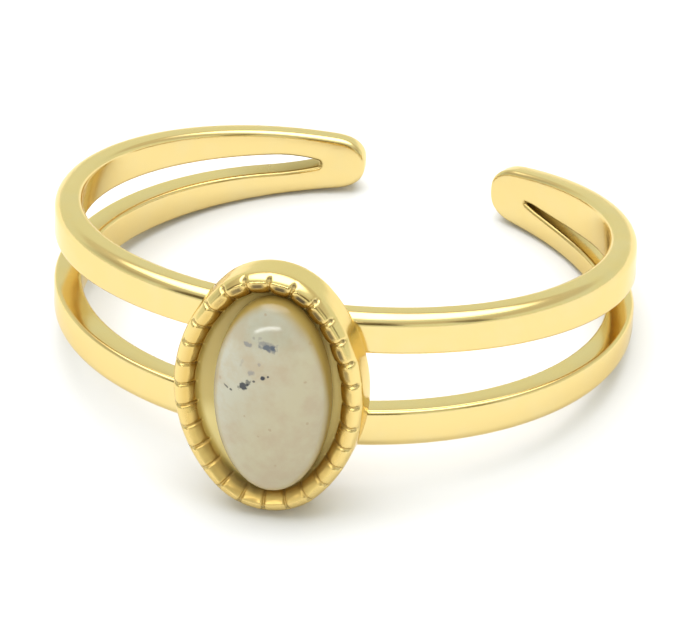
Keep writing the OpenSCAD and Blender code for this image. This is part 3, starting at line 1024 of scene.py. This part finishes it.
# %% Camera
CAMERA_MM = Vector((52.749, -127.792, 102.702))
AIM_MM = Vector((0.843, -1.310, 2.264))
CAMERA_ROLL = math.radians(-2.783)
lens = bpy.data.cameras.new("camera")
lens.sensor_width = 36
lens.sensor_fit = "HORIZONTAL"
lens.lens = 264.156
lens.clip_start = 0.002
lens.clip_end = 50
camera = bpy.data.objects.new("camera", lens)
bpy.context.scene.collection.objects.link(camera)
look = (AIM_MM - CAMERA_MM).to_track_quat("-Z", "Y").to_matrix().to_4x4()
camera.matrix_world = Matrix.Translation(CAMERA_MM * MM) @ look @ Matrix.Rotation(CAMERA_ROLL, 4, "Z")
bpy.context.scene.camera = camera
print("camera right axis:", [round(v, 4) for v in camera.matrix_world.col[0][:3]])

# %% [markdown]
# Gold shows the room and hardly itself, so the room is what matters. A picture of a real studio would do,
# but a room drawn by direction can be tuned: a direction's height says how far up it points, and its way
# along the ground says which wall it meets. Two helpers pick parts of the room out softly.

# %% Directions in the room
world = bpy.data.worlds.new("studio")
bpy.context.scene.world = world
world.use_nodes = True
sky = world.node_tree
sky.nodes.clear()
way = add(sky, "ShaderNodeTexCoord").outputs["Generated"]
height = add(sky, "ShaderNodeSeparateXYZ", {0: way}).outputs["Z"]
level_way = vector_maths(sky, "NORMALIZE", vector_maths(sky, "MULTIPLY", way, (1, 1, 0)))


def zone(direction, towards, start, full):
    """How much a direction belongs to a zone round another one, from 0 to 1, by the cosine between them."""
    cosine = vector_maths(sky, "DOT_PRODUCT", direction, towards, output="Value")
    return share_of(sky, cosine, start, full, soft=True)


def window(low, soft_low, soft_high, high):
    """1 between two heights, fading out to 0 on both sides."""
    rise = share_of(sky, height, low, soft_low, soft=True)
    fall = share_of(sky, height, high, soft_high, soft=True)
    return maths(sky, "MULTIPLY", rise, fall)


print("world:", world.name)

# %% [markdown]
# The room is a white tent, open towards the front and, more narrowly, to the right and the left, where it
# is dark. Those openings draw the broken dark line along the band's rounded edge.

# %% Dark openings of the tent
# degrees to the right of the front, half width where it starts and where it is full, strength
OPENINGS = ((-8, 45, 40, 1.0), (66, 9, 3, 0.85), (-82, 27, 12, 0.25))
dark = 0.0
for degrees, starting, full, strength in OPENINGS:
    towards = Vector((math.sin(math.radians(degrees)), -math.cos(math.radians(degrees)), 0))
    opening = zone(level_way, towards, math.cos(math.radians(starting)), math.cos(math.radians(full)))
    dark = maths(sky, "MAXIMUM", dark, maths(sky, "MULTIPLY", opening, strength))
dark = maths(sky, "MULTIPLY", dark, window(0.14, 0.22, 0.50, 0.63))
print("openings:", len(OPENINGS))

# %% [markdown]
# The walls of the tent are pale, with a slightly dimmer belt, and its top is very bright, which draws the
# streak above the dark line. The camera itself sees plain white behind the ring.

# %% Walls, belt and bright top
SIDES = (0.935, 1.03, 1.0, 1)
BELT = (0.75, 0.74, 0.66, 1)
TOP = (3.8, 3.8, 3.8, 1)
OUTSIDE = (0.11, 0.085, 0.03, 1)
WHITE = (1, 1, 1, 1)
TENT_TOP = Vector((-0.10, 0.24, 0.97)).normalized()
walls = mix(sky, window(0.34, 0.46, 0.64, 0.80), SIDES, BELT)
lit = mix(sky, zone(way, TENT_TOP, 0.74, 0.88), walls, TOP)
room = mix(sky, dark, lit, OUTSIDE)
seen = add(sky, "ShaderNodeLightPath").outputs["Is Camera Ray"]
glow = add(sky, "ShaderNodeBackground", {"Color": mix(sky, seen, room, WHITE), "Strength": 1.0})
add(sky, "ShaderNodeOutputWorld", {"Surface": glow.outputs[0]})
print("nodes in the room:", len(sky.nodes))

# %% [markdown]
# One long lamp hangs in front of the ring, a little over half a metre away. It is there for the stone:
# the dome shows it as a short bright arc near its upper end. It ends left of the camera, so that the
# band's edge on the right stays dark.

# %% Strip lamp
LAMP_PLACE = Vector((-0.067, -0.51, 0.275))
LAMP_TILT = math.radians(18)
strip_lamp = bpy.data.lights.new("strip lamp", "AREA")
strip_lamp.shape = "RECTANGLE"
strip_lamp.size = 0.45
strip_lamp.size_y = 0.045
strip_lamp.energy = 0.65
lamp = bpy.data.objects.new("strip lamp", strip_lamp)
bpy.context.scene.collection.objects.link(lamp)
facing = (AIM_MM * MM - LAMP_PLACE).to_track_quat("-Z", "Y").to_matrix().to_4x4()
lamp.matrix_world = Matrix.Translation(LAMP_PLACE) @ facing @ Matrix.Rotation(LAMP_TILT, 4, "Z")
print("lamp distance:", round(LAMP_PLACE.length, 3), "m")

# %% [markdown]
# The picture is shown without a film curve, so that the card stays white and the gold keeps its clean
# yellow.

# %% Tone
bpy.context.scene.view_settings.view_transform = "Standard"
print("view transform:", bpy.context.scene.view_settings.view_transform)
